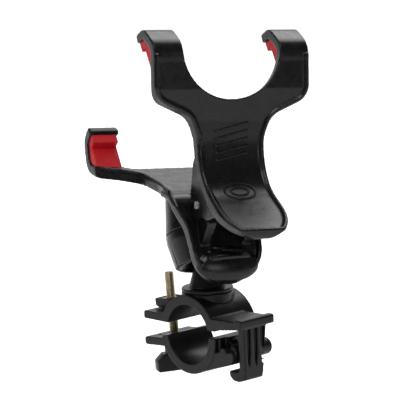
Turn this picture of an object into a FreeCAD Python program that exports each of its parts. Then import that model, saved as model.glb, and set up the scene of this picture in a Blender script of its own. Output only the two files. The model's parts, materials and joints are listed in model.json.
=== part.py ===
import FreeCAD, Part
import os
from math import atan2, cos, hypot, pi, radians, sin, sqrt, tan

from FreeCAD import Placement, Rotation, Vector

# Handlebar phone mount. Millimetres. The origin is the centre of the handlebar bore at the middle
# of the clamp. +X is the handlebar axis, +Y points away from the rider, +Z is up.
# The phone clip is drawn in its own frame: origin at the ball centre, z up along the socket axis,
# x along the jaw hinge, y towards the levers. Three turns place it in the row frame.

# Running clearance between pieces that move on each other
PLAY = 0.05

# Handlebar clamp
BAR_R = 11.9
CLAMP_R = 15.8
CLAMP_LENGTH = 23.0
HALF_LENGTH = CLAMP_LENGTH / 2
EAR_END_Y = -26.0
UPPER_EAR_Z = 3.2
EAR_THICK = 3.3
LOWER_EAR_Z = -3.9
FLANGE_END_Y = 30.1
FLANGE_RISE = 2.6
FLANGE_THICK = 3.3
FLANGE_FAR_X = -6.7
HINGE_Y = 22.2
HINGE_Z = -5.0
HINGE_PIN_R = 1.5
HINGE_HEAD_R = 3.3
KNUCKLE_R = 3.4
ARM_NEAR_X = 9.5
ARM_FAR_X = -9.0
LUG_NEAR_X = 4.0
LUG_FAR_X = -3.0
BRACKET_NEAR_X = 9.5
BRACKET_FAR_X = -2.5
WEB_THICK = 3.5
BRACKET_FOOT_Z = -15.6
BRACKET_GROOVES = 3
GROOVE_PITCH = 3.7

# Clamp screw: an M4 that leans with the lower half, its thumb knob and its nut
BOLT_LEAN = 4.0
BOLT_Y = -21.2
BOLT_R = 2.0
BOLT_TOP = 20.8
BOLT_HEAD_Z = -13.0
BOLT_HEAD_THICK = 2.8
M4_ACROSS = 7.0
WASHER_R = 4.0
WASHER_THICK = 0.8
HUB_R = 4.5
WING_TOP = -12.0
WING_FOOT = -19.2
WING_HALF = 8.8
WING_SHOULDER = 6.2
WING_SWEEP = 8.9
WING_THICK = 7.0
WING_TURN = -29.0
SLOT_HALF = 2.4
SLOT_START_Y = -25.0
SLOT_END_Y = -17.4
BLOCK_WIDTH = 10.0
BLOCK_DEPTH = 8.4
BLOCK_TOP = 10.6
BLOCK_FOOT = 6.65
BLOCK_FOOT_CURVE = 9.0
SQUARE_NUT_Z = 8.0
SQUARE_NUT_THICK = 2.2

# Ball stem and the screw that holds it on the saddle
BALL_Z = 34.6
BALL_R = 8.5
SADDLE_Z = 16.0
STEM_FLANGE_R = 10.3
STEM_FLANGE_TOP = 17.6
NECK_R = 4.6
NECK_FOOT_R = 7.3
NECK_WAIST_R = 5.1
NECK_WAIST_Z = 25.2
SCREW_HEAD_R = 3.5
SCREW_HEAD_Z = 11.95
SCREW_HEAD_TOP = 13.3
SCREW_SEAT_Z = 13.9
SCREW_TOP = 23.5
INSERT_Z = 18.6
INSERT_THICK = 3.2

# Ball socket and ring nut, in the clip frame
LINER_R = 10.4
LINER_TOP = 10.0
LINER_FOOT = -4.0
BARREL_R = 15.2
BARREL_TAPER = 0.13
THREAD_R = 12.4
THREAD_FOOT = -4.2
SOCKET_SLOTS = 4
SOCKET_SLOT_WIDTH = 2.0
SHOULDER_Z = 5.0
RING_NUT_R = 15.2
RING_NUT_TOP = 4.8
RING_NUT_FOOT = -8.6
RING_NUT_FOOT_R = 13.2
RING_NUT_LIP = -4.4
RING_NUT_THROAT_R = 8.0
RING_NUT_MOUTH_R = 11.3
RING_NUT_FLUTES = 8
FLUTE_R = 0.95

# Clip turns: swivel of the stem, lean of the socket on the ball, roll of the clip in the socket
CLIP_SWIVEL = -27.4
CLIP_LEAN = 24.5
CLIP_ROLL = 10.3

# The phone that the open jaws are drawn around: its slope, lower back edge and height
PHONE_SLOPE = 16.3
PHONE_FOOT_Y = -22.2
PHONE_FOOT_Z = 41.7
PHONE_HEIGHT = 67.0
PHONE_THICK = 6.9

# Claws, in the clip frame
PLATE = 3.7
CLAW_HALF = 32.7
FINGER_INNER = 20.7
PIVOT_Y = 23.5
PIVOT_Z = 9.5
PIVOT_PIN_R = 1.5
PIVOT_BOSS_R = 5.6
CHEEK_IN = 10.7
CHEEK_OUT = 12.4
LUG_IN = 7.0
LUG_OUT = 10.5
NOTCH_HALF = 20.5
NOTCH_DEPTH = 18.0
NOTCH_Z = 64.0
TAIL_MID_Y = 16.6
TAIL_PLATE = 2.4
TAIL_RIM = 1.7
RIM_HEIGHT = 1.7
PAD_IN = 21.2
PAD_OUT = 32.2

# Torsion spring on the pivot pin
SPRING_WIRE_R = 0.65
SPRING_R = 3.3
SPRING_HALF = 5.6
SPRING_PITCH = 1.6


def yz_plane(x):
    return lambda a, b: Vector(x, a, b)


def xz_plane(y):
    return lambda a, b: Vector(a, y, b)


def xy_plane(z):
    return lambda a, b: Vector(a, b, z)


def unit(a, b):
    length = hypot(b[0] - a[0], b[1] - a[1])
    return (b[0] - a[0]) / length, (b[1] - a[1]) / length


def rounded_face(corners, plane):
    """Face inside a closed outline. A corner is (a, b) or (a, b, radius)."""
    starts, ends, arcs = [], [], []
    count = len(corners)
    for i, corner in enumerate(corners):
        before, after = corners[i - 1], corners[(i + 1) % count]
        radius = corner[2] if len(corner) > 2 else 0
        d_in, d_out = unit(before, corner), unit(corner, after)
        cross = d_in[0] * d_out[1] - d_in[1] * d_out[0]
        dot = d_in[0] * d_out[0] + d_in[1] * d_out[1]
        turn = atan2(cross, dot)
        if radius == 0 or abs(turn) < 1e-4:
            starts.append(corner[:2])
            ends.append(corner[:2])
            arcs.append(None)
            continue
        cut = radius * tan(abs(turn) / 2)
        side = 1 if turn > 0 else -1
        first = (corner[0] - d_in[0] * cut, corner[1] - d_in[1] * cut)
        last = (corner[0] + d_out[0] * cut, corner[1] + d_out[1] * cut)
        centre = (first[0] - d_in[1] * radius * side, first[1] + d_in[0] * radius * side)
        to_corner = unit(centre, corner)
        middle = (centre[0] + to_corner[0] * radius, centre[1] + to_corner[1] * radius)
        starts.append(first)
        ends.append(last)
        arcs.append(middle)
    edges = []
    for i in range(count):
        if arcs[i]:
            edges.append(Part.Arc(plane(*starts[i]), plane(*arcs[i]), plane(*ends[i])).toShape())
        a, b = plane(*ends[i]), plane(*starts[(i + 1) % count])
        if a.distanceToPoint(b) > 1e-5:
            edges.append(Part.LineSegment(a, b).toShape())
    return Part.Face(Part.Wire(edges))


def prism_x(corners, x0, x1):
    return rounded_face(corners, yz_plane(x0)).extrude(Vector(x1 - x0, 0, 0))


def prism_y(corners, y0, y1):
    return rounded_face(corners, xz_plane(y0)).extrude(Vector(0, y1 - y0, 0))


def prism_z(corners, z0, z1):
    return rounded_face(corners, xy_plane(z0)).extrude(Vector(0, 0, z1 - z0))


def band(corners, left, right, end_radius):
    """Outline of a plate that reaches left and right of a line whose corners are (a, b, radius)."""
    left_side, right_side = [], []
    last = len(corners) - 1
    for i, corner in enumerate(corners):
        d_in = unit(corners[i - 1], corner) if i > 0 else unit(corner, corners[1])
        d_out = unit(corner, corners[i + 1]) if i < last else d_in
        n_in, n_out = (-d_in[1], d_in[0]), (-d_out[1], d_out[0])
        scale = 1 / (1 + n_in[0] * n_out[0] + n_in[1] * n_out[1])
        aside = ((n_in[0] + n_out[0]) * scale, (n_in[1] + n_out[1]) * scale)
        turn = d_in[0] * d_out[1] - d_in[1] * d_out[0]
        if i in (0, last):
            left_radius = right_radius = end_radius
        elif turn > 0:
            left_radius, right_radius = corner[2] - left, corner[2] + right
        else:
            left_radius, right_radius = corner[2] + left, corner[2] - right
        left_side.append((corner[0] + aside[0] * left, corner[1] + aside[1] * left, left_radius))
        right_side.append((corner[0] - aside[0] * right, corner[1] - aside[1] * right, right_radius))
    return left_side + right_side[::-1]


def mirrored(half_outline):
    """Closes the outline drawn on the +x side with its mirror image."""
    return half_outline + [(-c[0],) + tuple(c[1:]) for c in half_outline[::-1]]


def rod(start, end, radius):
    along = end - start
    return Part.makeCylinder(radius, along.Length, start, along)


def rod_x(y, z, radius, x0, x1):
    return Part.makeCylinder(radius, x1 - x0, Vector(x0, y, z), Vector(1, 0, 0))


def revolved(profile):
    """Body of revolution about z from corners (r, z) or (r, z, radius)."""
    return rounded_face(profile, xz_plane(0)).revolve(Vector(0, 0, 0), Vector(0, 0, 1), 360)


def both_sides(shape):
    return shape, shape.mirror(Vector(0, 0, 0), Vector(1, 0, 0))


def joined(shapes):
    first, rest = shapes[0], shapes[1:]
    return first.fuse(rest).removeSplitter()


def from_phone(up, out):
    """Clip-frame (y, z) of a point measured up the phone's back and out through it."""
    slope = radians(PHONE_SLOPE)
    y = PHONE_FOOT_Y + up * cos(slope) - out * sin(slope)
    z = PHONE_FOOT_Z + up * sin(slope) + out * cos(slope)
    return y, z


def moved(shape, placement):
    copy = shape.copy()
    copy.Placement = placement.multiply(copy.Placement)
    return copy


def hexagon(across):
    reach = across / 2 / cos(pi / 6)
    return [(reach * cos(k * pi / 3), reach * sin(k * pi / 3)) for k in range(6)]


# A shape drawn about the z axis goes onto the leaning clamp screw with bolt_place,
# and a shape drawn in the clip frame goes onto the ball with clip_place.
bolt_place = Placement(Vector(0, BOLT_Y, 0), Rotation(Vector(1, 0, 0), BOLT_LEAN))
clip_turn = Rotation(Vector(0, 0, 1), CLIP_SWIVEL)
clip_turn = clip_turn.multiply(Rotation(Vector(1, 0, 0), CLIP_LEAN))
clip_turn = clip_turn.multiply(Rotation(Vector(0, 0, 1), CLIP_ROLL))
clip_place = Placement(Vector(0, 0, BALL_Z), clip_turn)


# ---- Handlebar clamp ----

def make_clamp_upper():
    ear_top = UPPER_EAR_Z + EAR_THICK
    under = UPPER_EAR_Z + FLANGE_RISE
    top = under + FLANGE_THICK
    web_in = FLANGE_END_Y - WEB_THICK
    foot_in = web_in - 5.6
    arch = rod_x(0, 0, CLAMP_R, -HALF_LENGTH, HALF_LENGTH)
    arch = arch.common(Part.makeBox(CLAMP_LENGTH, 40, 30, Vector(-HALF_LENGTH, -20, UPPER_EAR_Z)))
    ear = prism_x([(EAR_END_Y, UPPER_EAR_Z, 1), (-10, UPPER_EAR_Z), (-10, ear_top),
                   (EAR_END_Y, ear_top, 1)], -HALF_LENGTH, HALF_LENGTH)
    # the flange rises outwards and ends in a thicker bar
    flange = prism_x([(10, UPPER_EAR_Z), (14, UPPER_EAR_Z + 0.4), (FLANGE_END_Y, under), (FLANGE_END_Y, top - 0.4),
                      (10, top - 1.0)], FLANGE_FAR_X, HALF_LENGTH)
    end_bar = prism_x([(FLANGE_END_Y - 3.0, under), (FLANGE_END_Y + 0.4, under, 0.8),
                       (FLANGE_END_Y + 0.4, top + 0.3, 0.8), (FLANGE_END_Y - 3.0, top + 0.3, 0.6)],
                      FLANGE_FAR_X, HALF_LENGTH)
    pedestal = Part.makeCylinder(STEM_FLANGE_R, SADDLE_Z - 8, Vector(0, 0, 8))
    # bracket: web, upper tooth and a foot that curls back under the arm
    foot_top = BRACKET_FOOT_Z + 4.0
    bracket = prism_x([(web_in, under + 1), (web_in, 3.2), (web_in - 2.6, 2.6, 0.5), (web_in, 0.6),
                       (web_in, foot_top, 1.2), (foot_in, foot_top, 0.6),
                       (foot_in, BRACKET_FOOT_Z + 1.8, 1.2), (foot_in + 2.0, BRACKET_FOOT_Z + 0.2, 1.2),
                       (web_in - 0.8, BRACKET_FOOT_Z - 0.1, 2), (FLANGE_END_Y - 0.2, BRACKET_FOOT_Z + 1.2, 0.8),
                       (FLANGE_END_Y, -10), (FLANGE_END_Y, under + 1)], BRACKET_FAR_X, BRACKET_NEAR_X)
    # the far side of the web tapers towards its foot
    bracket = bracket.common(prism_y([(BRACKET_NEAR_X, 20), (BRACKET_NEAR_X, -20), (0.6, -20),
                                      (BRACKET_FAR_X, under), (BRACKET_FAR_X, 20)], 0, 40))
    lug = rod_x(HINGE_Y, HINGE_Z, KNUCKLE_R, LUG_FAR_X, LUG_NEAR_X)
    lug_root = prism_x([(HINGE_Y, HINGE_Z - KNUCKLE_R), (web_in + 1, HINGE_Z - KNUCKLE_R),
                        (web_in + 1, HINGE_Z + KNUCKLE_R), (HINGE_Y, HINGE_Z + KNUCKLE_R)],
                       LUG_FAR_X + 2.0, LUG_NEAR_X)
    body = joined([arch, ear, flange, end_bar, pedestal, bracket, lug, lug_root])
    # ribs are left standing between tapering grooves on the outer face of the bracket
    for k in range(BRACKET_GROOVES):
        groove_x = BRACKET_NEAR_X - 2.5 - k * GROOVE_PITCH
        groove = prism_y([(groove_x - 1.1, under - 0.3), (groove_x + 1.1, under - 0.3),
                          (groove_x + 0.9, -4), (groove_x + 0.4, -9.5), (groove_x - 0.2, -4 - 5.0),
                          (groove_x - 0.9, -4)], FLANGE_END_Y - 1.5, FLANGE_END_Y + 1)
        body = body.cut(groove)
    body = body.cut(rod_x(0, 0, BAR_R, -HALF_LENGTH - 1, HALF_LENGTH + 1))
    body = body.cut(rod_x(HINGE_Y, HINGE_Z, HINGE_PIN_R, LUG_FAR_X - 1, LUG_NEAR_X + 1))
    # the slot lets the screw lean as the lower half swings
    slot = prism_z([(-SLOT_HALF, SLOT_START_Y, 2.3), (SLOT_HALF, SLOT_START_Y, 2.3),
                    (SLOT_HALF, SLOT_END_Y, 2.3), (-SLOT_HALF, SLOT_END_Y, 2.3)], 0, 12)
    body = body.cut(slot)
    # counterbore in the roof of the bore and clearance hole for the stem screw
    body = body.cut(Part.makeCylinder(SCREW_HEAD_R + 0.2, SCREW_SEAT_Z))
    return body.cut(Part.makeCylinder(BOLT_R + 0.15, SADDLE_Z + 1))


def make_clamp_lower():
    crescent = rod_x(0, 0, CLAMP_R, -HALF_LENGTH, HALF_LENGTH)
    keep = prism_x([(-20, -30), (20, -30), (20, 0.4), (0, 0.4), (-20, LOWER_EAR_Z + 0.6)],
                   -HALF_LENGTH, HALF_LENGTH)
    crescent = crescent.common(keep)
    # the ear is square to the leaning screw
    ear = prism_x([(-5.0, LOWER_EAR_Z - EAR_THICK, 1), (11, LOWER_EAR_Z - EAR_THICK), (11, LOWER_EAR_Z),
                   (-5.0, LOWER_EAR_Z, 1)], -HALF_LENGTH, HALF_LENGTH)
    arm = prism_x([(3.0, 0.4 - CLAMP_R), (HINGE_Y - 1.2, HINGE_Z - KNUCKLE_R + 0.2),
                   (HINGE_Y, HINGE_Z + KNUCKLE_R), (19.4, -1.4, 1.5), (17.6, 0.4, 0.8), (11.0, 0.4),
                   (8.0, -8.0)], ARM_FAR_X, ARM_NEAR_X)
    knuckle = rod_x(HINGE_Y, HINGE_Z, KNUCKLE_R, ARM_FAR_X, ARM_NEAR_X)
    body = joined([crescent, moved(ear, bolt_place), arm, knuckle])
    body = body.cut(rod_x(0, 0, BAR_R, -HALF_LENGTH - 1, HALF_LENGTH + 1))
    gap_y = HINGE_Y - KNUCKLE_R - 0.8
    body = body.cut(Part.makeBox(LUG_NEAR_X - LUG_FAR_X + 0.2, 12, 16, Vector(LUG_FAR_X - 0.1, gap_y, -14)))
    # both end faces are relieved above a lip that runs on from the crescent, with a round stud left standing
    for x0, x1 in ((ARM_NEAR_X - 3.0, ARM_NEAR_X + 1), (ARM_FAR_X - 1, ARM_FAR_X + 1.2)):
        relief = prism_x([(16.4, 2), (16.4, -8.6, 1.5), (20.2, -7.4, 1.5), (HINGE_Y - 0.2, HINGE_Z + KNUCKLE_R - 0.8, 1),
                          (HINGE_Y - 0.2, 2)], x0, x1)
        body = body.cut(relief.cut(rod_x(18.4, -6.2, 1.3, x0, x1)))
    body = body.cut(rod_x(HINGE_Y, HINGE_Z, HINGE_PIN_R + PLAY, ARM_FAR_X - 1, ARM_NEAR_X + 1))
    body = body.cut(moved(Part.makeCylinder(BOLT_R + 0.15, 30, Vector(0, 0, -20)), bolt_place))
    return body.cut(Part.makeCylinder(0.8, 20, Vector(6.4, -22.1, -15)))


def make_hinge_pin():
    head_x = ARM_FAR_X - 0.1
    pin = rod_x(HINGE_Y, HINGE_Z, HINGE_PIN_R, head_x, ARM_NEAR_X + 0.3)
    head = rod_x(HINGE_Y, HINGE_Z, HINGE_HEAD_R, head_x - 2.2, head_x)
    dome = Part.makeSphere(4.0, Vector(head_x + 1.8, HINGE_Y, HINGE_Z))
    return joined([pin, head.common(dome)])


# ---- Clamp screw, drawn about its own axis ----

def make_clamp_bolt():
    shank = Part.makeCylinder(BOLT_R, BOLT_TOP - BOLT_HEAD_Z, Vector(0, 0, BOLT_HEAD_Z))
    tip = Part.makeCone(BOLT_R + 1, BOLT_R - 0.5, 1.5, Vector(0, 0, BOLT_TOP - 1.5))
    lower = Part.makeCylinder(BOLT_R + 1, BOLT_TOP - 1.5 - BOLT_HEAD_Z, Vector(0, 0, BOLT_HEAD_Z))
    head = prism_z(hexagon(M4_ACROSS), BOLT_HEAD_Z - BOLT_HEAD_THICK, BOLT_HEAD_Z)
    return joined([shank.common(joined([tip, lower])), head])


def make_thumb_knob():
    wing = prism_y([(-WING_SHOULDER, WING_TOP, 0.8), (-WING_HALF, WING_TOP - 2.6, 0.8),
                    (-WING_HALF, WING_FOOT, 1.2), (WING_HALF, WING_FOOT, 1.2),
                    (WING_HALF, WING_TOP - 2.6, 0.8), (WING_SHOULDER, WING_TOP, 0.8)],
                   -WING_THICK / 2, WING_THICK / 2)
    # everything stays inside the space that is free while the knob spins beside the lower half
    swept = revolved([(0, WING_TOP), (WING_SHOULDER, WING_TOP, 0.6), (WING_SWEEP, WING_TOP - 2.6, 1),
                      (WING_SWEEP, WING_FOOT), (0, WING_FOOT)])
    wing = moved(wing.common(swept), Placement(Vector(0, 0, 0), Rotation(Vector(0, 0, 1), WING_TURN)))
    hub_top = LOWER_EAR_Z - EAR_THICK - WASHER_THICK - 2 * PLAY
    hub = Part.makeCylinder(HUB_R, hub_top - WING_TOP + 1, Vector(0, 0, WING_TOP - 1))
    return joined([wing, hub]).cut(make_clamp_bolt())


def make_knob_washer():
    top = LOWER_EAR_Z - EAR_THICK - PLAY
    ring = Part.makeCylinder(WASHER_R, WASHER_THICK, Vector(0, 0, top - WASHER_THICK))
    return ring.cut(Part.makeCylinder(BOLT_R + 0.1, 30, Vector(0, 0, -20)))


def make_nut_block():
    half = BLOCK_DEPTH / 2
    block = Part.makeBox(BLOCK_WIDTH, BLOCK_DEPTH, BLOCK_TOP - BLOCK_FOOT,
                         Vector(-BLOCK_WIDTH / 2, -half, BLOCK_FOOT))
    # the foot is curved so that the block can rock on the ear
    block = block.common(rod_x(0, BLOCK_FOOT + BLOCK_FOOT_CURVE, BLOCK_FOOT_CURVE, -10, 10))
    block = block.cut(Part.makeCylinder(BOLT_R + 0.1, 30))
    return block.cut(square_nut_blank(BLOCK_TOP - SQUARE_NUT_Z + 1))


def square_nut_blank(height):
    side = M4_ACROSS
    return Part.makeBox(side, side, height, Vector(-side / 2, -side / 2, SQUARE_NUT_Z))


def make_clamp_nut():
    return square_nut_blank(SQUARE_NUT_THICK).cut(Part.makeCylinder(BOLT_R + PLAY, 30))


# ---- Ball stem ----

def make_stem_insert():
    blank = prism_z(hexagon(M4_ACROSS), INSERT_Z, INSERT_Z + INSERT_THICK)
    return blank.cut(Part.makeCylinder(BOLT_R, SCREW_TOP))


def make_ball_stem():
    ball = Part.makeSphere(BALL_R, Vector(0, 0, BALL_Z))
    foot = SADDLE_Z + PLAY
    stalk = revolved([(0, foot), (STEM_FLANGE_R, foot, 0.4), (STEM_FLANGE_R, STEM_FLANGE_TOP, 0.5),
                      (NECK_FOOT_R, STEM_FLANGE_TOP, 0.8), (NECK_WAIST_R, NECK_WAIST_Z),
                      (NECK_R, NECK_WAIST_Z + 3), (NECK_R, BALL_Z), (0, BALL_Z)])
    stem = joined([ball, stalk])
    stem = stem.cut(Part.makeCylinder(BOLT_R, SCREW_TOP))
    return stem.cut(prism_z(hexagon(M4_ACROSS), INSERT_Z, INSERT_Z + INSERT_THICK))


def make_stem_screw():
    head = Part.makeCylinder(SCREW_HEAD_R, SCREW_HEAD_TOP - SCREW_HEAD_Z, Vector(0, 0, SCREW_HEAD_Z))
    shank = Part.makeCylinder(BOLT_R, SCREW_TOP - SCREW_HEAD_Z, Vector(0, 0, SCREW_HEAD_Z))
    recess = prism_z(hexagon(2.5), SCREW_HEAD_Z - 1, SCREW_HEAD_Z + 1.0)
    return joined([head, shank]).cut(recess)


def make_stem_washer():
    foot = SCREW_HEAD_TOP + PLAY
    ring = Part.makeCylinder(SCREW_HEAD_R, SCREW_SEAT_Z - foot, Vector(0, 0, foot))
    return ring.cut(Part.makeCylinder(BOLT_R + 0.15, 30))


# ---- Ball socket ----

def make_socket_liner():
    cup = Part.makeCylinder(LINER_R, LINER_TOP - LINER_FOOT, Vector(0, 0, LINER_FOOT))
    return cup.cut(Part.makeSphere(BALL_R + PLAY))


def make_ring_nut():
    nut = revolved([(0, RING_NUT_FOOT), (RING_NUT_FOOT_R, RING_NUT_FOOT, 1), (RING_NUT_R, RING_NUT_TOP - 3, 6),
                    (RING_NUT_R, RING_NUT_TOP, 0.6), (0, RING_NUT_TOP)])
    slope = (RING_NUT_R - RING_NUT_FOOT_R) / (RING_NUT_TOP - 3 - RING_NUT_FOOT)
    for k in range(RING_NUT_FLUTES):
        turn = 2 * pi * k / RING_NUT_FLUTES
        foot_r = RING_NUT_FOOT_R + 0.35
        top_r = foot_r + slope * (RING_NUT_TOP - RING_NUT_FOOT)
        foot = Vector(foot_r * cos(turn), foot_r * sin(turn), RING_NUT_FOOT - 1)
        top = Vector(top_r * cos(turn), top_r * sin(turn), RING_NUT_TOP - 3)
        nut = nut.cut(rod(foot, top, FLUTE_R))
    nut = nut.cut(Part.makeCylinder(THREAD_R + PLAY * 2, 20, Vector(0, 0, RING_NUT_LIP)))
    mouth = Part.makeCone(RING_NUT_MOUTH_R, RING_NUT_THROAT_R, RING_NUT_LIP - RING_NUT_FOOT,
                          Vector(0, 0, RING_NUT_FOOT))
    return nut.cut(mouth)


# ---- Claws, in the clip frame ----

def lower_claw_plates():
    finger_line = [(-23.1, 55.4), (-28.6, 52.3, 4), (-30.1, 41.5, 6), (13.4, 16.3)]
    fingers = prism_x(band(finger_line, PLATE / 2, PLATE / 2, 1.0), -CLAW_HALF, CLAW_HALF)
    plan = mirrored([(CLAW_HALF, -40), (CLAW_HALF, -21.3, 4), (25.1, -17.1, 12), (18.4, -10.0, 8),
                     (17.9, 3.0, 20), (19.7, 14.0), (19.7, 17.0)])
    fingers = fingers.common(prism_z(plan, 0, 80))
    notch = prism_z([(-FINGER_INNER, -45), (FINGER_INNER, -45), (FINGER_INNER, -19.6, 6),
                     (-FINGER_INNER, -19.6, 6)], 0, 80)
    tail_line = [(9.0, 18.9), (TAIL_MID_Y, 14.5, 5), (TAIL_MID_Y, -9.0, 14), (13.2, -20.0)]
    outline = mirrored([(20.4, 20.0), (19.9, 11.0, 12), (15.8, 2.0, 14), (14.8, -6.0, 20),
                        (14.8, -19.9, 13.6)])
    inset = mirrored([(20.4 - TAIL_RIM, 24.0), (19.9 - TAIL_RIM, 11.0, 12), (15.8 - TAIL_RIM, 2.0, 14),
                      (14.8 - TAIL_RIM, -6.0, 20), (14.8 - TAIL_RIM, -19.9 + TAIL_RIM, 12)])
    tail = prism_x(band(tail_line, TAIL_PLATE / 2, TAIL_PLATE / 2, 0.5), -21, 21)
    rim_line = [(TAIL_MID_Y, 11.0)] + tail_line[2:]
    rim = prism_x(band(rim_line, TAIL_PLATE / 2 + RIM_HEIGHT, 0, 0.8), -21, 21)
    tail = tail.common(prism_y(outline, -30, 40))
    rim = rim.common(prism_y(outline, -30, 40).cut(prism_y(inset, -31, 41)))
    return [fingers.cut(notch), tail, rim]


def make_lower_claw():
    shapes = lower_claw_plates()
    below_plate = prism_x([(-20, 34.0), (-20, SHOULDER_Z), (20, SHOULDER_Z), (20, 11.6), (14, 15.0)],
                          -20, 20)
    barrel = Part.makeCone(BARREL_R, BARREL_R - BARREL_TAPER * 40, 40, Vector(0, 0, SHOULDER_Z))
    barrel = barrel.common(below_plate)
    thread = Part.makeCylinder(THREAD_R, SHOULDER_Z + 1 - THREAD_FOOT, Vector(0, 0, THREAD_FOOT))
    lug = [(15.8, 17.0), (20.6, 15.0, 3), (28.2, 13.4, 4.4), (27.6, 0.6, 1.5), (18.4, -5.0), (15.8, -5)]
    shapes += [barrel, thread] + list(both_sides(prism_x(lug, LUG_IN, LUG_OUT)))
    # step across the tail and a thin frame around the pocket between the lugs
    shapes.append(Part.makeBox(19, 1.6, 2.6, Vector(-9.5, TAIL_MID_Y + 0.6, -11.8)))
    frame_y = TAIL_MID_Y + 0.6
    frame = Part.makeBox(15.0, 1.2, 9.6, Vector(-7.5, frame_y, -8.2))
    frame = frame.cut(Part.makeBox(13.2, 3, 12, Vector(-6.6, frame_y - 1, -7.3)))
    shapes.append(frame)
    body = joined(shapes)
    body = body.cut(Part.makeCylinder(LINER_R + PLAY, LINER_TOP + PLAY - THREAD_FOOT + 1,
                                      Vector(0, 0, THREAD_FOOT - 1)))
    for k in range(SOCKET_SLOTS):
        slot = Part.makeBox(THREAD_R + 1, SOCKET_SLOT_WIDTH, 8.0,
                            Vector(0, -SOCKET_SLOT_WIDTH / 2, THREAD_FOOT - 1))
        slot = moved(slot, Placement(Vector(0, 0, 0), Rotation(Vector(0, 0, 1), 45 + 360 * k / SOCKET_SLOTS)))
        body = body.cut(slot)
    return body.cut(rod_x(PIVOT_Y, PIVOT_Z, PIVOT_PIN_R, -LUG_OUT - 1, LUG_OUT + 1))


def make_upper_claw():
    line = [(35.5, 72.5), (41.8, 72.9, 4), (48.9, 64.6, 6), (28.5, 18.2, 27), (50.9, -11.1)]
    plate = prism_x(band(line, PLATE / 2, PLATE / 2, 1.2), -CLAW_HALF, CLAW_HALF)
    plan = mirrored([(CLAW_HALF, 90), (CLAW_HALF, 46.6, 6), (17.4, 40.4, 9), (14.2, 32.5, 14),
                     (13.8, 12, 40), (14.6, -11.8, 13)])
    plate = plate.common(prism_y(plan, 0, 80))
    # U-shaped notch between the fingers: half an ellipse with straight sides above it
    arc = Part.ArcOfEllipse(Part.Ellipse(Vector(0, 0, 0), NOTCH_HALF, NOTCH_DEPTH), pi, 2 * pi).toShape()
    top = Part.makePolygon([Vector(NOTCH_HALF, 0, 0), Vector(NOTCH_HALF, 30, 0),
                            Vector(-NOTCH_HALF, 30, 0), Vector(-NOTCH_HALF, 0, 0)])
    notch = Part.Face(Part.Wire(arc.Edges + top.Edges)).extrude(Vector(0, 0, 90))
    upright = Rotation(Vector(1, 0, 0), 90)
    plate = plate.cut(moved(notch, Placement(Vector(0, 90, NOTCH_Z), upright)))
    cheek = joined([
        prism_x([(18.2, 11.5), (19.8, 16.2), (25.2, 25.4), (33.6, 33.0), (33.4, 20.0), (36.6, 8.0),
                 (41.6, 1.6), (40.6, 0.2, 0.6), (30.0, 1.2, 6), (24.8, 4.0)], CHEEK_IN, CHEEK_OUT),
        rod_x(PIVOT_Y, PIVOT_Z, PIVOT_BOSS_R, CHEEK_IN, CHEEK_OUT)])
    body = joined([plate] + list(both_sides(cheek)))
    return body.cut(rod_x(PIVOT_Y, PIVOT_Z, PIVOT_PIN_R + PLAY, -CHEEK_OUT - 1, CHEEK_OUT + 1))


def make_pivot_pin():
    return rod_x(PIVOT_Y, PIVOT_Z, PIVOT_PIN_R, -CHEEK_OUT - 0.4, CHEEK_OUT + 0.4)


def make_torsion_spring():
    turns = 2 * SPRING_HALF / SPRING_PITCH
    helix = Part.makeHelix(SPRING_PITCH, 2 * SPRING_HALF, SPRING_R)
    start = Vector(SPRING_R, 0, 0)
    circle = Part.Wire(Part.Circle(start, Vector(0, 1, 0), SPRING_WIRE_R).toShape())
    coil = Part.Wire(helix).makePipeShell([circle], True, True)
    end_turn = 2 * pi * turns
    end = Vector(SPRING_R * cos(end_turn), SPRING_R * sin(end_turn), 2 * SPRING_HALF)
    down_leg = rod(start, start + Vector(0, -13.0, 0), SPRING_WIRE_R)
    out = Vector(-sin(end_turn), cos(end_turn), 0)
    out_leg = rod(end, end + out * 8.4, SPRING_WIRE_R)
    spring = joined([coil, down_leg, out_leg])
    # the helix axis becomes the hinge axis and its starting leg points down the tail
    turn = Rotation(Vector(0, 1, 0), 90).multiply(Rotation(Vector(0, 0, 1), 90))
    return moved(spring, Placement(Vector(-SPRING_HALF, PIVOT_Y, PIVOT_Z), turn))


def pad_outline(edge, inward):
    """Soft lining of a finger hook. edge is the phone edge and inward is +1 when the hook lies below."""
    return [from_phone(edge - 0.2 * inward, -5.0), from_phone(edge - 0.2 * inward, PHONE_THICK + 0.4),
            from_phone(edge + 2.6 * inward, PHONE_THICK + 0.4), from_phone(edge + 2.6 * inward, 12.4),
            from_phone(edge - 2.5 * inward, 12.0), from_phone(edge - 6.2 * inward, 2.4),
            from_phone(edge - 4.0 * inward, -4.0)]


def make_pad(edge, inward, claw, side):
    x0, x1 = sorted((side * PAD_IN, side * PAD_OUT))
    return prism_x(pad_outline(edge, inward), x0, x1).cut(claw)


# ---- Write every piece in the row frame ----

upper_claw = make_upper_claw()
lower_claw = make_lower_claw()

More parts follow.
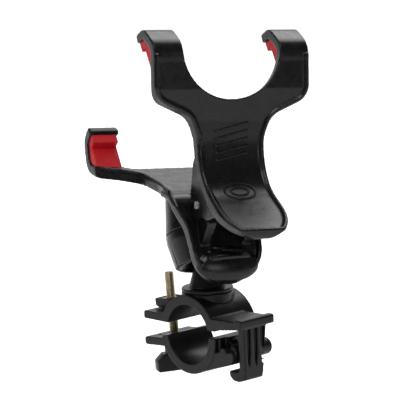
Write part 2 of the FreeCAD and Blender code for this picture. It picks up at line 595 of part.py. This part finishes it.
row_pieces = {
    "clamp_upper": make_clamp_upper(),
    "clamp_lower": make_clamp_lower(),
    "hinge_pin": make_hinge_pin(),
    "ball_stem": make_ball_stem(),
    "stem_insert": make_stem_insert(),
    "stem_screw": make_stem_screw(),
    "stem_washer": make_stem_washer(),
}
bolt_pieces = {
    "clamp_bolt": make_clamp_bolt(),
    "thumb_knob": make_thumb_knob(),
    "knob_washer": make_knob_washer(),
    "nut_block": make_nut_block(),
    "clamp_nut": make_clamp_nut(),
}
clip_pieces = {
    "socket_liner": make_socket_liner(),
    "ring_nut": make_ring_nut(),
    "lower_claw": lower_claw,
    "upper_claw": upper_claw,
    "pivot_pin": make_pivot_pin(),
    "torsion_spring": make_torsion_spring(),
    "lower_pad_left": make_pad(0, 1, lower_claw, 1),
    "lower_pad_right": make_pad(0, 1, lower_claw, -1),
    "upper_pad_left": make_pad(PHONE_HEIGHT, -1, upper_claw, 1),
    "upper_pad_right": make_pad(PHONE_HEIGHT, -1, upper_claw, -1),
}

os.makedirs("parts", exist_ok=True)
pieces = dict(row_pieces)
pieces.update({name: moved(shape, bolt_place) for name, shape in bolt_pieces.items()})
pieces.update({name: moved(shape, clip_place) for name, shape in clip_pieces.items()})
for name, shape in pieces.items():
    shape.exportStep(os.path.join("parts", name + ".step"))
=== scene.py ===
import json
from math import cos, pi, radians, sin, sqrt, tan

import bmesh
import bpy
from mathutils import Matrix, Vector


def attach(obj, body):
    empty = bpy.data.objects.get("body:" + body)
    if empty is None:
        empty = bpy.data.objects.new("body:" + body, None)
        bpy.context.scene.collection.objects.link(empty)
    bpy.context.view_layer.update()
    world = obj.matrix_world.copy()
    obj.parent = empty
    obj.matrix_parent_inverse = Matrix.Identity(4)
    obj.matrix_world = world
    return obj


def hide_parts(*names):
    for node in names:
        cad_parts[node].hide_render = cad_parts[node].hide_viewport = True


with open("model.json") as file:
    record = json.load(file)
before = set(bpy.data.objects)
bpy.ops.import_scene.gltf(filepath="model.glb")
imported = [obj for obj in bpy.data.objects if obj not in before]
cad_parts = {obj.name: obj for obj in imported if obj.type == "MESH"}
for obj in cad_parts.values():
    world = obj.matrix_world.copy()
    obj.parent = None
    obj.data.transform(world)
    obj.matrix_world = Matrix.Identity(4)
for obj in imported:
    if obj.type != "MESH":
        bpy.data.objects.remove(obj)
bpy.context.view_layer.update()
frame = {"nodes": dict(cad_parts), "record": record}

# Looks of a handlebar phone mount. Sizes in the named values are in millimetres; MM makes them metres.
# Row frame: +X along the handlebar, +Y towards the clamp's hinge, +Z up, origin in the middle of the
# bar's bore.
# Clip frame: origin in the ball, z along the socket, x along the claw hinge, y towards the lever.
MM = 0.001
BALL_Z = 34.6
CLIP_TURNS = (-27.4, 24.5, 10.3)

# Clamp screw, along its own axis
BOLT_Y = -21.2
BOLT_LEAN = 4.0
BOLT_R = 2.0
BOLT_TOP = 20.8
BOLT_CHAMFER = 0.6
BOLT_HEAD_Z = -13.0
BOLT_HEAD_FOOT = -15.8
BOLT_HEAD_WIDTH = 7.0
BOLT_SIDES = 28
THREAD_PITCH = 0.7
THREAD_DEPTH = 0.36
THREAD_STEP = 0.0875

# Lines of the claw plates in the clip frame, as (y, z, corner radius), and the outlines cut into them,
# as (half width, height or y, corner radius)
HALF_PLATE = 1.85
LINE_GAP = 0.8
UPPER_LINE = [(35.5, 72.5), (41.8, 72.9, 4), (48.9, 64.6, 6), (28.5, 18.2, 27), (50.9, -11.1)]
UPPER_PLAN = [(32.7, 90), (32.7, 46.6, 6), (17.4, 40.4, 9), (14.2, 32.5, 14), (13.8, 12, 40),
              (14.6, -11.8, 13), (0, -11.8)]
LOWER_LINE = [(-28.6, 52.3), (-30.1, 41.5, 6), (13.4, 16.3)]
LOWER_PLAN = [(32.7, -40), (32.7, -21.3, 4), (25.1, -17.1, 12), (18.4, -10.0, 8), (17.9, 3.0, 20),
              (19.7, 14.0), (19.7, 17.0)]

# Raised beads along the edges of the claws. An inset is from the edge to the middle of the bead.
UPPER_BEAD_R = 0.95
UPPER_BEAD_INSET = 1.05
UPPER_BEAD_TOP = 62
TIP_INSET = 1.3
TIP_CLEAR = 1.7
LOWER_BEAD_R = 0.9
LOWER_BEAD_INSET = 0.95
LOWER_BEAD_START = -24
LOWER_BEAD_FOOT = ((19.0, 17.6, 12.2), (18.9, 18.6, 10.4))

# Low relief on the lever, in the clip frame
RELIEF_LIFT = 0.05
LEVER_INSIDE_Y = 20
RIDGE_COUNT = 5
RIDGE_TOP = 36.0
RIDGE_PITCH = 2.7
RIDGE_REACH = 7.0
RIDGE_RISE = 3.0
RIDGE_R = 0.45
OVAL_HEIGHT = 10.5
OVAL_SIZES = ((6.4, 3.6), (3.6, 1.8))
OVAL_R = 0.42

# Crease of the upper claw: heights in the clip frame where it starts, peaks and ends
CREASE_FOOT, CREASE_RIDGE, CREASE_TOP = 38.0, 49.5, 59.0
CREASE_PUSH = 0.9
PLATE_OUT = (0, 0.916, -0.402)

# Dome and ledges in the tail of the lower claw, in the clip frame. A ledge runs from (x, z) to (x, z).
DOME_CENTRE = (0, 16.4, -12.9)
DOME_RADII = (13.4, 3.7, 7.0)
DOME_INNER_SHARE = 0.3
LEDGE_LIFT = 0.15
LEDGE_STEPS = 12
TAIL_LEDGES = (((7.6, -10.8), (-8.9, -10.2), 0.7), ((5.8, -7.0), (-7.0, -7.9), 0.65))

# Cheek on the hinge arm of the lower clamp half, as (y, z), and its bosses, as (y, z, radius)
CHEEK_X = (6.0, 11.3)
CHEEK_OUTLINE = [(1.5, -15.4), (12.0, -12.5), (23.4, -9.0), (25.2, -7.2), (25.4, -4.6), (24.0, -3.6),
                 (21.6, -4.6), (17.4, -4.4), (14.0, -5.6), (11.6, -3.4), (10.8, -8.0), (6.0, -13.0)]
CHEEK_BOSSES = ((13.4, -5.2, 1.6), (19.6, -4.6, 1.9))
BOSS_X = (6.5, 9.0, 11.2)

# How far a pad's skin is drawn in
PAD_DRAW = 0.12

clip_frame = (Matrix.Translation((0, 0, BALL_Z))
              @ Matrix.Rotation(radians(CLIP_TURNS[0]), 4, "Z")
              @ Matrix.Rotation(radians(CLIP_TURNS[1]), 4, "X")
              @ Matrix.Rotation(radians(CLIP_TURNS[2]), 4, "Z"))
bolt_frame = Matrix.Translation((0, BOLT_Y, 0)) @ Matrix.Rotation(radians(BOLT_LEAN), 4, "X")
row_frame = Matrix.Identity(4)
to_metres = Matrix.Scale(MM, 4)

node_slot = {s["node"]: s["material_slot"] for s in frame["record"]["subparts"]}
node_body = {n: b for b, ns in frame["record"]["behaviour"]["bodies"].items() for n in ns}


# ---- Mesh helpers ----

def new_object(name, data):
    """Object with the given mesh, light or camera, added to the scene."""
    obj = bpy.data.objects.new(name, data)
    bpy.context.scene.collection.objects.link(obj)
    return obj


def mesh_object(name, build, place=row_frame):
    """Object from a bmesh that build fills in millimetres, placed in the row frame."""
    bm = bmesh.new()
    build(bm)
    bmesh.ops.recalc_face_normals(bm, faces=bm.faces)
    bm.transform(to_metres @ place)
    mesh = bpy.data.meshes.new(name)
    bm.to_mesh(mesh)
    bm.free()
    return new_object(name, mesh)


def cad_copy(name, node):
    """Welded copy of a CAD node's mesh."""
    bm = bmesh.new()
    bm.from_mesh(frame["nodes"][node].data)
    bmesh.ops.remove_doubles(bm, verts=bm.verts, dist=1e-6)
    mesh = bpy.data.meshes.new(name)
    bm.to_mesh(mesh)
    bm.free()
    return new_object(name, mesh)


def applied(obj):
    """Replaces the object's mesh by the result of its modifiers."""
    graph = bpy.context.evaluated_depsgraph_get()
    mesh = bpy.data.meshes.new_from_object(obj.evaluated_get(graph))
    obj.modifiers.clear()
    obj.data = mesh


def merged(obj, other):
    """Adds the other object's closed mesh to obj's mesh, and removes the other object."""
    bm = bmesh.new()
    bm.from_mesh(obj.data)
    bm.from_mesh(other.data)
    bm.to_mesh(obj.data)
    bm.free()
    bpy.data.objects.remove(other)


def moulded(obj, voxel, rounds):
    """Melts closed meshes into one skin with soft moulded edges. voxel is in millimetres."""
    remesh = obj.modifiers.new("skin", "REMESH")
    remesh.mode = "VOXEL"
    remesh.voxel_size = voxel * MM
    smooth = obj.modifiers.new("soft", "SMOOTH")
    smooth.factor = 0.5
    smooth.iterations = rounds
    applied(obj)
    shade_smooth(obj)


def slimmed(obj, depth):
    """Draws a pad's skin in by depth millimetres, so that it stays inside the edges of its hook."""
    pulls = [normal.vector * depth * MM for normal in obj.data.vertex_normals]
    for vertex, pull in zip(obj.data.vertices, pulls):
        vertex.co -= pull


def rounded_line(corners, steps=10):
    """Points along an open line whose inner corners (a, b, radius) are rounded."""
    points = [Vector(corners[0][:2])]
    for before, corner, after in zip(corners, corners[1:], corners[2:]):
        here = Vector(corner[:2])
        back = (Vector(before[:2]) - here).normalized()
        on = (Vector(after[:2]) - here).normalized()
        turn = pi - back.angle(on)
        if len(corner) < 3 or turn < 0.001:
            points.append(here)
            continue
        reach = corner[2] * tan(turn / 2)
        centre = here + (back + on).normalized() * corner[2] / cos(turn / 2)
        first, last = here + back * reach, here + on * reach
        for k in range(steps + 1):
            spoke = (first - centre).lerp(last - centre, k / steps)
            points.append(centre + spoke.normalized() * corner[2])
    points.append(Vector(corners[-1][:2]))
    return points


def spaced(points, gap):
    """The same line with points at most gap apart."""
    result = [points[0]]
    for a, b in zip(points, points[1:]):
        count = max(1, int((b - a).length / gap))
        result += [a.lerp(b, (k + 1) / count) for k in range(count)]
    return result


def offset_line(points, side):
    """Line beside the given one. side is positive on its left."""
    result = []
    for i, point in enumerate(points):
        along = (points[min(i + 1, len(points) - 1)] - points[max(i - 1, 0)]).normalized()
        result.append(point + Vector((-along.y, along.x)) * side)
    return result


def width_at(plan, height):
    """Half width of an outline of (x, height) points where it crosses the height."""
    for a, b in zip(plan, plan[1:]):
        low, high = sorted((a.y, b.y))
        if low <= height <= high and high > low:
            return a.x + (b.x - a.x) * (height - a.y) / (b.y - a.y)
    return plan[-1].x


def joined(bm, rings):
    """Closed skin over rings of vertices, with a flat face at each end."""
    for low, high in zip(rings, rings[1:]):
        for k in range(len(low)):
            bm.faces.new((low[k - 1], low[k], high[k], high[k - 1]))
    bm.faces.new(rings[0][::-1])
    bm.faces.new(rings[-1])


def tube(bm, path, radius, sides=10):
    """Closed round bar along a path of points."""
    rings = []
    along = (path[1] - path[0]).normalized()
    across = along.orthogonal().normalized()
    for i, point in enumerate(path):
        along = (path[min(i + 1, len(path) - 1)] - path[max(i - 1, 0)]).normalized()
        across = (across - along * across.dot(along)).normalized()
        beside = along.cross(across)
        turns = [2 * pi * k / sides for k in range(sides)]
        rings.append([bm.verts.new(point + (across * cos(t) + beside * sin(t)) * radius) for t in turns])
    joined(bm, rings)


def shade_smooth(obj):
    obj.data.polygons.foreach_set("use_smooth", [True] * len(obj.data.polygons))


def stands_for(obj, node, material):
    """obj is shown in place of a CAD node, rides on its body and has its slot."""
    obj.data.materials.clear()
    obj.data.materials.append(material)
    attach(obj, node_body[node])
    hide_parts(node)


# ---- Materials ----

def node_material(name):
    """New node material, its tree and its shader."""
    material = bpy.data.materials.new(name)
    material.use_nodes = True
    tree = material.node_tree
    return material, tree, tree.nodes["Principled BSDF"]


def add_noise(tree, scale, detail=4.0, roughness=0.55):
    """Noise from 0 to 1 in the object's own coordinates. scale is in cells per metre."""
    coords = tree.nodes.new("ShaderNodeTexCoord")
    noise = tree.nodes.new("ShaderNodeTexNoise")
    noise.inputs["Scale"].default_value = scale
    noise.inputs["Detail"].default_value = detail
    noise.inputs["Roughness"].default_value = roughness
    tree.links.new(coords.outputs["Object"], noise.inputs["Vector"])
    return noise.outputs["Fac"]


def ramp(tree, value, low, high, at_low, at_high):
    """Maps value from low..high to at_low..at_high. The ends are numbers or colours."""
    node = tree.nodes.new("ShaderNodeValToRGB")
    node.color_ramp.elements[0].position = low
    node.color_ramp.elements[1].position = high
    for element, end in zip(node.color_ramp.elements, (at_low, at_high)):
        element.color = (end, end, end, 1) if isinstance(end, float) else tuple(end) + (1,)
    tree.links.new(value, node.inputs["Fac"])
    return node.outputs["Color"]


def add_bump(tree, shader, height, strength, distance):
    """Bump on the shader's normal. distance is in millimetres."""
    bump = tree.nodes.new("ShaderNodeBump")
    bump.inputs["Strength"].default_value = strength
    bump.inputs["Distance"].default_value = distance * MM
    tree.links.new(height, bump.inputs["Height"])
    tree.links.new(bump.outputs["Normal"], shader.inputs["Normal"])


def worn_edges(tree, low, high):
    """1 on outer edges, 0 elsewhere, broken up by noise."""
    geometry = tree.nodes.new("ShaderNodeNewGeometry")
    edges = ramp(tree, geometry.outputs["Pointiness"], low, high, 0.0, 1.0)
    patches = ramp(tree, add_noise(tree, 420, 3), 0.42, 0.66, 0.0, 1.0)
    both = tree.nodes.new("ShaderNodeMath")
    both.operation = "MULTIPLY"
    tree.links.new(edges, both.inputs[0])
    tree.links.new(patches, both.inputs[1])
    return both.outputs["Value"]


def mixed(tree, factor, first, second):
    """Colour between first and second, each a colour or a socket."""
    node = tree.nodes.new("ShaderNodeMix")
    node.data_type = "RGBA"
    tree.links.new(factor, node.inputs["Factor"])
    for socket, value in ((node.inputs[6], first), (node.inputs[7], second)):
        if isinstance(value, tuple):
            socket.default_value = value + (1,)
        else:
            tree.links.new(value, socket)
    return node.outputs[2]


def moulded_plastic(name, colour, lighter, rough, gloss, grain, grain_depth):
    """Black moulded plastic: fine grain, cloudy gloss and slightly polished, paler edges."""
    material, tree, shader = node_material(name)
    clouds = ramp(tree, add_noise(tree, 90, 5), 0.3, 0.7, colour, lighter)
    worn = tuple(2.0 * c + 0.006 for c in lighter)
    tree.links.new(mixed(tree, worn_edges(tree, 0.56, 0.68), clouds, worn),
                   shader.inputs["Base Color"])
    tree.links.new(ramp(tree, add_noise(tree, 260, 4), 0.25, 0.75, rough - 0.05, rough + 0.08),
                   shader.inputs["Roughness"])
    shader.inputs["Specular IOR Level"].default_value = gloss
    add_bump(tree, shader, add_noise(tree, grain, 2, 0.5), 0.3, grain_depth)
    return material


def metal(name, colour, tint, rough, scratch_scale):
    """Plated steel with faint scratches and stains."""
    material, tree, shader = node_material(name)
    shader.inputs["Metallic"].default_value = 1.0
    tree.links.new(ramp(tree, add_noise(tree, 500, 6), 0.35, 0.7, colour, tint),
                   shader.inputs["Base Color"])
    tree.links.new(ramp(tree, add_noise(tree, 900, 4), 0.3, 0.7, rough - 0.08, rough + 0.12),
                   shader.inputs["Roughness"])
    add_bump(tree, shader, add_noise(tree, scratch_scale, 3), 0.25, 0.02)
    return material


def silicone(name, colour, darker):
    """Soft red silicone: matte, faintly translucent, with a fine skin."""
    material, tree, shader = node_material(name)
    tree.links.new(ramp(tree, add_noise(tree, 300, 4), 0.3, 0.75, darker, colour),
                   shader.inputs["Base Color"])
    tree.links.new(ramp(tree, add_noise(tree, 700, 3), 0.3, 0.7, 0.42, 0.6), shader.inputs["Roughness"])
    shader.inputs["Subsurface Weight"].default_value = 0.12
    shader.inputs["Subsurface Radius"].default_value = (0.0012, 0.0004, 0.0003)
    shader.inputs["Subsurface Scale"].default_value = 1.0
    shader.inputs["Specular IOR Level"].default_value = 0.22
    add_bump(tree, shader, add_noise(tree, 3500, 2), 0.3, 0.03)
    return material


slot_material = {
    "claw_plastic": moulded_plastic("claw plastic", (0.003, 0.003, 0.0035), (0.0055, 0.0055, 0.006),
                                    rough=0.26, gloss=0.25, grain=3200, grain_depth=0.012),
    "clamp_plastic": moulded_plastic("clamp plastic", (0.004, 0.004, 0.0043), (0.007, 0.007, 0.0075),
                                     rough=0.33, gloss=0.18, grain=2600, grain_depth=0.02),
    "knob_plastic": moulded_plastic("knob plastic", (0.004, 0.004, 0.0043), (0.007, 0.007, 0.0075),
                                    rough=0.36, gloss=0.18, grain=2400, grain_depth=0.02),
    "pad_rubber": silicone("red silicone", (0.52, 0.004, 0.012), (0.36, 0.003, 0.006)),
    "liner_rubber": moulded_plastic("liner rubber", (0.012, 0.012, 0.012), (0.02, 0.02, 0.02),
                                    rough=0.62, gloss=0.15, grain=2800, grain_depth=0.04),
    "yellow_zinc": metal("yellow zinc", (0.60, 0.53, 0.38), (0.42, 0.36, 0.24), 0.36, 5200),
    "bright_steel": metal("bright steel", (0.92, 0.92, 0.91), (0.80, 0.80, 0.80), 0.42, 6000),
    "spring_steel": metal("spring steel", (0.34, 0.34, 0.35), (0.24, 0.24, 0.25), 0.34, 6000)}

# The CAD solids get the materials of their slots. Most are then replaced by softer copies.
for node, obj in frame["nodes"].items():
    obj.data.materials.clear()
    obj.data.materials.append(slot_material[node_slot[node]])

# ---- Details of the claws ----
upper_face = offset_line(spaced(rounded_line(UPPER_LINE), LINE_GAP), HALF_PLATE)
upper_plan = rounded_line(UPPER_PLAN)
lower_face = offset_line(spaced(rounded_line(LOWER_LINE), LINE_GAP), HALF_PLATE)
lower_plan = rounded_line(LOWER_PLAN)


def upper_edge_beads(bm):
    """Raised bead that follows both edges of the upper claw and crosses the lip of the lever."""
    tip = upper_face[-1]
    out = (tip - upper_face[-2]).normalized()
    lip = [p for p in upper_face if p.y < UPPER_BEAD_TOP and (tip - p).dot(out) > TIP_CLEAR]
    lip.append(tip - out * TIP_INSET)
    side = [Vector((width_at(upper_plan, p.y) - UPPER_BEAD_INSET, p.x, p.y)) for p in lip]
    end = side[-1]
    half = side + [Vector((end.x * (1 - k / 8), end.y, end.z)) for k in range(1, 9)]
    tube(bm, half + [Vector((-p.x, p.y, p.z)) for p in half[-2::-1]], UPPER_BEAD_R)


def lower_edge_beads(bm):
    """Raised bead along both edges of the lower claw, down to the rim of its tail."""
    for side in (1, -1):
        path = [Vector((side * (width_at(lower_plan, p.x) - LOWER_BEAD_INSET), p.x, p.y))
                for p in lower_face if p.x > LOWER_BEAD_START]
        path += [Vector((side * x, y, z)) for x, y, z in LOWER_BEAD_FOOT]
        tube(bm, path, LOWER_BEAD_R)


def on_upper_face(x, height, lift):
    """Point on the outer face of the lever, raised by lift."""
    for i in range(1, len(upper_face)):
        a, b = upper_face[i - 1], upper_face[i]
        if a.x > LEVER_INSIDE_Y and a.y >= height >= b.y:
            point = a.lerp(b, (a.y - height) / (a.y - b.y))
            along = (b - a).normalized()
            return Vector((x, point.x - along.y * lift, point.y + along.x * lift))


def upper_relief(bm):
    """Plain low relief on the lever: slanting grip ridges above an oval ring."""
    steps = [j / 12 for j in range(13)]
    for k in range(RIDGE_COUNT):
        foot = RIDGE_TOP - RIDGE_PITCH * k - RIDGE_RISE / 2
        tube(bm, [on_upper_face(RIDGE_REACH - 2 * RIDGE_REACH * t, foot + RIDGE_RISE * t, RELIEF_LIFT)
                  for t in steps], RIDGE_R, 8)
    turns = [2 * pi * j / 40 for j in range(41)]
    for wide, high in OVAL_SIZES:
        tube(bm, [on_upper_face(wide * cos(t), OVAL_HEIGHT + high * sin(t), RELIEF_LIFT) for t in turns],
             OVAL_R, 8)


def tail_face(x, height):
    """y of the outer side of the dome."""
    across = (x - DOME_CENTRE[0]) / DOME_RADII[0]
    up = (height - DOME_CENTRE[2]) / DOME_RADII[2]
    return DOME_CENTRE[1] + DOME_RADII[1] * sqrt(max(0.0, 1 - across * across - up * up))


def tail_dome(bm):
    """Shallow dome that fills the foot of the tail, with the two ledges on it."""
    bmesh.ops.create_uvsphere(bm, u_segments=64, v_segments=40, radius=1.0)
    for vertex in bm.verts:
        if vertex.co.y < 0:
            vertex.co.y *= DOME_INNER_SHARE
    bm.transform(Matrix.Translation(DOME_CENTRE) @ Matrix.Diagonal(DOME_RADII + (1,)))
    for left, right, radius in TAIL_LEDGES:
        path = []
        for k in range(LEDGE_STEPS + 1):
            x = left[0] + (right[0] - left[0]) * k / LEDGE_STEPS
            height = left[1] + (right[1] - left[1]) * k / LEDGE_STEPS
            path.append(Vector((x, tail_face(x, height) + LEDGE_LIFT, height)))
        tube(bm, path, radius)


def arm_cheek(bm):
    """Near face of the hinge arm, flush with the end of the crescent, with two round bosses."""
    sides = [[bm.verts.new((x, y, z)) for y, z in CHEEK_OUTLINE] for x in CHEEK_X]
    for k in range(len(CHEEK_OUTLINE)):
        bm.faces.new((sides[0][k - 1], sides[0][k], sides[1][k], sides[1][k - 1]))
    for ring in sides:
        bm.faces.new(ring)
    for y, z, radius in CHEEK_BOSSES:
        tube(bm, [Vector((x, y, z)) for x in BOSS_X], radius, 20)


def creased(obj):
    """Bends the plate of the upper claw slightly along a line below the notch."""
    back = clip_frame.inverted() @ Matrix.Scale(1 / MM, 4)
    out = (clip_frame.to_3x3() @ Vector(PLATE_OUT)) * MM
    for vertex in obj.data.vertices:
        height = (back @ vertex.co).z
        if CREASE_FOOT < height <= CREASE_RIDGE:
            vertex.co += out * CREASE_PUSH * ((height - CREASE_FOOT) / (CREASE_RIDGE - CREASE_FOOT))
        elif CREASE_RIDGE < height < CREASE_TOP:
            vertex.co += out * CREASE_PUSH * ((CREASE_TOP - height) / (CREASE_TOP - CREASE_RIDGE))


def threaded_rod(bm):
    """Shank of the clamp screw with a helical thread, and its hexagon head."""
    steps = int((BOLT_TOP - BOLT_HEAD_Z) / THREAD_STEP)
    rings = []
    for i in range(steps + 1):
        z = BOLT_HEAD_Z + (BOLT_TOP - BOLT_HEAD_Z) * i / steps
        chamfer = max(0.0, BOLT_CHAMFER - (BOLT_TOP - z))
        ring = []
        for k in range(BOLT_SIDES):
            wave = (z / THREAD_PITCH - k / BOLT_SIDES) % 1.0
            radius = BOLT_R - max(THREAD_DEPTH * (1 - abs(2 * wave - 1)), chamfer)
            turn = 2 * pi * k / BOLT_SIDES
            ring.append(bm.verts.new((radius * cos(turn), radius * sin(turn), z)))
        rings.append(ring)
    joined(bm, rings)
    reach = BOLT_HEAD_WIDTH / 2 / cos(pi / 6)
    hexagon = [(reach * cos(k * pi / 3), reach * sin(k * pi / 3)) for k in range(6)]
    joined(bm, [[bm.verts.new((x, y, z)) for x, y in hexagon] for z in (BOLT_HEAD_FOOT, BOLT_HEAD_Z)])


# ---- Softened copies of the moulded pieces ----
# Voxel size and rounds of smoothing of each skin, and the details melted into it
SKINS = {"upper_claw": (0.35, 6), "lower_claw": (0.35, 6), "clamp_upper": (0.28, 5),
         "clamp_lower": (0.28, 5), "thumb_knob": (0.2, 5), "nut_block": (0.2, 4),
         "ring_nut": (0.25, 4), "ball_stem": (0.25, 4)}
SKINS.update({pad: (0.2, 6) for pad in frame["nodes"] if "_pad_" in pad})
EXTRAS = {"upper_claw": [(upper_edge_beads, clip_frame)], "clamp_lower": [(arm_cheek, row_frame)],
          "lower_claw": [(lower_edge_beads, clip_frame), (tail_dome, clip_frame)]}
for node, (voxel, rounds) in SKINS.items():
    piece = cad_copy("soft_" + node, node)
    for build, place in EXTRAS.get(node, ()):
        merged(piece, mesh_object("extra", build, place))
    moulded(piece, voxel, rounds)
    if "_pad_" in node:
        slimmed(piece, PAD_DRAW)
    if node == "upper_claw":
        creased(piece)
        merged(piece, mesh_object("relief", upper_relief, clip_frame))
        shade_smooth(piece)
    stands_for(piece, node, slot_material[node_slot[node]])

stands_for(mesh_object("threaded_bolt", threaded_rod, bolt_frame), "clamp_bolt",
           slot_material["yellow_zinc"])

# ---- Floor, light and camera, in metres ----
FLOOR_Z = -0.031
SWEEP_AWAY = Vector((-0.673, -0.740, 0))
SWEEP_ASIDE = Vector((0.740, -0.673, 0))
SWEEP_FLAT = 1.8
SWEEP_BEND = 0.7
SWEEP_SIZE = 4

CAMERA_PLACE = (0.5966, 0.6538, 0.2031)
CAMERA_FORWARD = Vector((-0.663, -0.729, -0.168))
CAMERA_DOWN = Vector((0.144, 0.096, -0.985))
CAMERA_SENSOR = 36.0
CAMERA_LENS = 205.6

# Lights: name, place, size and power in watts
MOUNT_MIDDLE = Vector((0, 0, 0.05))
LIGHTS = (("back", (-0.62, -0.2, 1.05), 0.8, 7), ("left", (0.9, -0.2, 0.9), 0.5, 2),
          ("front", (0.25, 1.1, 0.45), 0.5, 2), ("top", (0.4, 0.4, 1.1), 0.5, 6))


def make_sweep():
    """Pale floor that curves up into a wall far behind the mount."""
    outline = [(-SWEEP_SIZE, 0.0), (0.0, 0.0), (SWEEP_FLAT, 0.0)]
    outline += [(SWEEP_FLAT + SWEEP_BEND * sin(a * pi / 16), SWEEP_BEND - SWEEP_BEND * cos(a * pi / 16))
                for a in range(1, 9)]
    outline.append((SWEEP_FLAT + SWEEP_BEND, SWEEP_SIZE))
    bm = bmesh.new()
    rows = [[bm.verts.new(SWEEP_AWAY * d + SWEEP_ASIDE * w + Vector((0, 0, FLOOR_Z + h)))
             for w in (-SWEEP_SIZE, SWEEP_SIZE)] for d, h in outline]
    for low, high in zip(rows, rows[1:]):
        bm.faces.new((low[0], low[1], high[1], high[0]))
    mesh = bpy.data.meshes.new("sweep")
    bm.to_mesh(mesh)
    bm.free()
    sweep = new_object("sweep", mesh)
    shade_smooth(sweep)
    material, tree, shader = node_material("pale sweep")
    tone = ramp(tree, add_noise(tree, 3, 3), 0.2, 0.8, 0.90, 0.93)
    tree.links.new(tone, shader.inputs["Base Color"])
    tree.links.new(tone, shader.inputs["Emission Color"])
    shader.inputs["Emission Strength"].default_value = 0.62
    shader.inputs["Roughness"].default_value = 0.9
    mesh.materials.append(material)


def add_light(name, place, size, power):
    """Round soft light that faces the middle of the mount."""
    light = bpy.data.lights.new(name, "AREA")
    light.shape = "DISK"
    light.size = size
    light.energy = power
    obj = new_object(name, light)
    obj.location = place
    obj.rotation_euler = (MOUNT_MIDDLE - Vector(place)).to_track_quat("-Z", "Y").to_euler()


def add_camera():
    """Long lens, a little above the mount, looking at the back of the claws."""
    forward = CAMERA_FORWARD.normalized()
    right = forward.cross(-CAMERA_DOWN).normalized()
    up = right.cross(forward)
    camera = bpy.data.cameras.new("camera")
    camera.sensor_width = CAMERA_SENSOR
    camera.lens = CAMERA_LENS
    camera.clip_start = 0.01
    obj = new_object("camera", camera)
    axes = Matrix((right, up, -forward)).transposed()
    obj.matrix_world = Matrix.Translation(CAMERA_PLACE) @ axes.to_4x4()
    bpy.context.scene.camera = obj


def add_world():
    """Dim, faintly blue surroundings."""
    world = bpy.data.worlds.new("studio")
    world.use_nodes = True
    background = world.node_tree.nodes["Background"]
    background.inputs["Color"].default_value = (0.95, 0.97, 1, 1)
    background.inputs["Strength"].default_value = 0.10
    bpy.context.scene.world = world


make_sweep()
for light in LIGHTS:
    add_light(*light)
add_camera()
add_world()
bpy.context.scene.view_settings.view_transform = "Standard"
